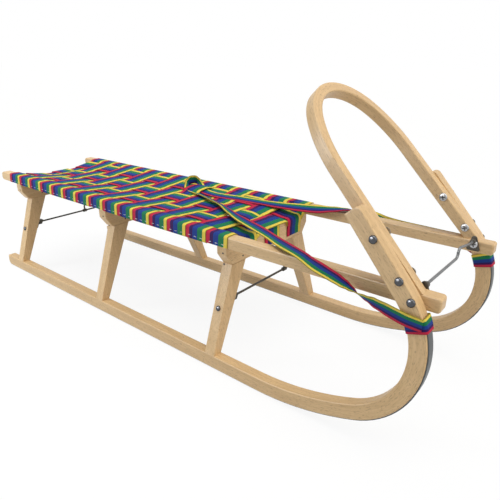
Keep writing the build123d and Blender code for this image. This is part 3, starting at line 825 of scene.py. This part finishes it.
# nose brackets: a rounded three-cornered plate with a sleeve for the wire
plate = {  # corners: x, height up the side plane, rounding
    "corners": ((0.5650, 0.2465, 0.0030), (0.5812, 0.2465, 0.0030), (0.5730, 0.2660, 0.0050)),
    "inset": 0.0430, "thick": 0.0025, "edge": 0.0006,
    "sleeveRadius": 0.0044, "sleeveLength": 0.0095, "sleeveEdge": 0.0012, "wireX": 0.573, "wireS": 0.2630,
}
for side, sign in (("Right", -1), ("Left", 1)):
    clearSelection()
    bpy.ops.mesh.primitive_circle_add(vertices=21, radius=0.01, fill_type="NGON")
    bracket = bpy.context.object
    outline = []
    for (x, s, bend), start in zip(plate["corners"], (150, 270, 30)):
        for k in range(7):
            a = radians(start + k * 20)
            outline.append((x + bend * cos(a), s + bend * sin(a)))
    for vert, (x, s) in zip(bracket.data.vertices, outline):
        z = s * cos(sled["lean"])
        vert.co = (x, sign * sideY(z, plate["inset"] + plate["thick"] / 2), z)
    for kind, amount in (("SOLIDIFY", plate["thick"]), ("BEVEL", plate["edge"])):
        change = bracket.modifiers.new("plate", kind)
        if kind == "SOLIDIFY":
            change.thickness, change.offset = amount, 0
        else:
            change.width, change.segments = amount, 2
        bpy.ops.object.modifier_apply(modifier=change.name)
    wireZ = plate["wireS"] * cos(sled["lean"])
    sleeveY = sideY(wireZ, plate["inset"] + plate["thick"]) - plate["sleeveLength"] / 2
    clearSelection()
    bpy.ops.mesh.primitive_cylinder_add(vertices=20, radius=plate["sleeveRadius"], depth=plate["sleeveLength"],
                                        location=(plate["wireX"], sign * sleeveY, wireZ),
                                        rotation=(pi / 2, 0, 0))
    sleeve = bpy.context.object
    bpy.ops.object.transform_apply(location=True, rotation=True)
    change = sleeve.modifiers.new("rounding", "BEVEL")
    change.width, change.segments = plate["sleeveEdge"], 3
    bpy.ops.object.modifier_apply(modifier=change.name)
    bracket = joinAll([bracket, sleeve], "noseBracket" + side)
    bpy.ops.object.mode_set(mode="EDIT")
    bpy.ops.mesh.select_all(action="SELECT")
    bpy.ops.mesh.normals_make_consistent(inside=False)
    bpy.ops.object.mode_set(mode="OBJECT")
    bpy.ops.object.shade_smooth_by_angle(angle=radians(40))
    bracket.data.materials.clear()
    bracket.data.materials.append(bracketSteel)
    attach(bracket, "root")
    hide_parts("brace_bracket_nose_" + side.lower())

# staples along the lower edge of each strap, each set a little differently
staple = {"size": (0.0062, 0.0007, 0.0009), "edge": 0.00025, "spacing": 0.0155, "rise": 0.0062, "proud": 0.0019}
clearSelection()
bpy.ops.mesh.primitive_cube_add(size=1)
wire = bpy.context.object
wire.scale = staple["size"]
bpy.ops.object.transform_apply(scale=True)
bevel = wire.modifiers.new("rounding", "BEVEL")
bevel.width, bevel.segments = staple["edge"], 2
bpy.ops.object.modifier_apply(modifier=bevel.name)
wire.data.materials.append(stapleSteel)
staplePieces = []
for i in range(seat["count"]):
    middle = seat["frontX"] - seat["width"] / 2 - i * seat["pitch"] + 0.001 * sin(5 * i)
    for sign in (-1, 1):
        for k in (-1, 0, 1):
            z = sled["railBottom"] + staple["rise"] + 0.0006 * sin(3 * i + k)
            y = sign * (sideY(z, sled["railOut"]) + staple["proud"])
            staplePieces.append(placeCopy(wire, (middle + staple["spacing"] * k, y, z),
                                          (0, 0.12 * sin(2 * i + k), 0)))
bpy.data.objects.remove(wire)
stapleSet = joinAll(staplePieces, "railStaples")
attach(stapleSet, "root")
print("bolts, nuts, nails, brackets and staples set")


# floor, world and lamps
def seenWhite(tree):  # 1 for what the camera, a mirror or clear glass sees
    path = addNode(tree, "ShaderNodeLightPath")
    return calc(tree, "MAXIMUM", path.outputs["Is Camera Ray"],
                calc(tree, "MAXIMUM", path.outputs["Is Glossy Ray"], path.outputs["Is Transmission Ray"]))


light = {
    "sky": 0.24, "skyTint": (0.86, 0.93, 1.0),
    "floorSize": 80, "floorGrey": 0.58, "floorShow": 0.82, "floorGlow": 1.08,
    "suns": (  # name, where from, strength, spread, tint
        ("topLamp", (0.05, -0.06, 1.0), 1.75, 50, (1.0, 0.985, 0.95)),
        ("frontLamp", (1.0, 0.1, 0.7), 1.35, 60, (1.0, 0.96, 0.88))),
    "areas": (  # name, place, aim, power, size, tint, and whether it lights dull surfaces
        ("sideLamp", (-1.15, -1.25, 0.80), (-0.35, -0.1, 0.15), 11.0, 0.5, (0.84, 0.93, 1.0), True),
        ("shineCard", (-0.25, -1.40, 0.85), (0.54, -0.16, 0.28), 26.0, 0.8, (1.0, 1.0, 1.0), False)),
}
world = bpy.data.worlds.new("paleStudio")
scene.world = world
world.use_nodes = True
tree = world.node_tree
tree.nodes.clear()
shine = addNode(tree, "ShaderNodeBackground")
white = addNode(tree, "ShaderNodeBackground")
shine.inputs["Color"].default_value = (*light["skyTint"], 1)
shine.inputs["Strength"].default_value = light["sky"]
white.inputs["Color"].default_value = (1, 1, 1, 1)
white.inputs["Strength"].default_value = 1.0
both = addNode(tree, "ShaderNodeMixShader")
tree.links.new(seenWhite(tree), both.inputs[0])
tree.links.new(shine.outputs[0], both.inputs[1])
tree.links.new(white.outputs[0], both.inputs[2])
tree.links.new(both.outputs[0], addNode(tree, "ShaderNodeOutputWorld").inputs[0])

clearSelection()
bpy.ops.mesh.primitive_plane_add(size=light["floorSize"], location=(0, 0, -0.0005))
floor = bpy.context.object
floor.name = "paleFloor"
floorPaint, tree, shader = newMaterial("paleFloorPaint")
grey = light["floorGrey"]
shader.inputs["Base Color"].default_value = (grey, grey, grey, 1)
shader.inputs["Roughness"].default_value = 0.9
glow = addNode(tree, "ShaderNodeEmission")
glow.inputs["Strength"].default_value = light["floorGlow"]
both = addNode(tree, "ShaderNodeMixShader")
tree.links.new(calc(tree, "MULTIPLY", seenWhite(tree), light["floorShow"]), both.inputs[0])
tree.links.new(shader.outputs[0], both.inputs[1])
tree.links.new(glow.outputs[0], both.inputs[2])
tree.links.new(both.outputs[0], tree.nodes["Material Output"].inputs[0])
floor.data.materials.append(floorPaint)

for name, spot, power, spread, tint in light["suns"]:
    bpy.ops.object.light_add(type="SUN", location=spot)
    lamp = bpy.context.object
    lamp.name = name
    lamp.data.energy = power
    lamp.data.color = tint
    lamp.data.angle = radians(spread)
    lamp.rotation_euler = (-Vector(spot)).to_track_quat("-Z", "Y").to_euler()
for name, spot, aim, power, size, tint, dull in light["areas"]:
    bpy.ops.object.light_add(type="AREA", location=spot)
    lamp = bpy.context.object
    lamp.name = name
    lamp.data.energy = power
    lamp.data.color = tint
    lamp.data.size = size
    lamp.visible_diffuse = dull  # the card is only mirrored by shiny parts
    lamp.rotation_euler = (Vector(aim) - lamp.location).to_track_quat("-Z", "Y").to_euler()
scene.view_settings.view_transform = "Standard"
print("floor and lamps placed")
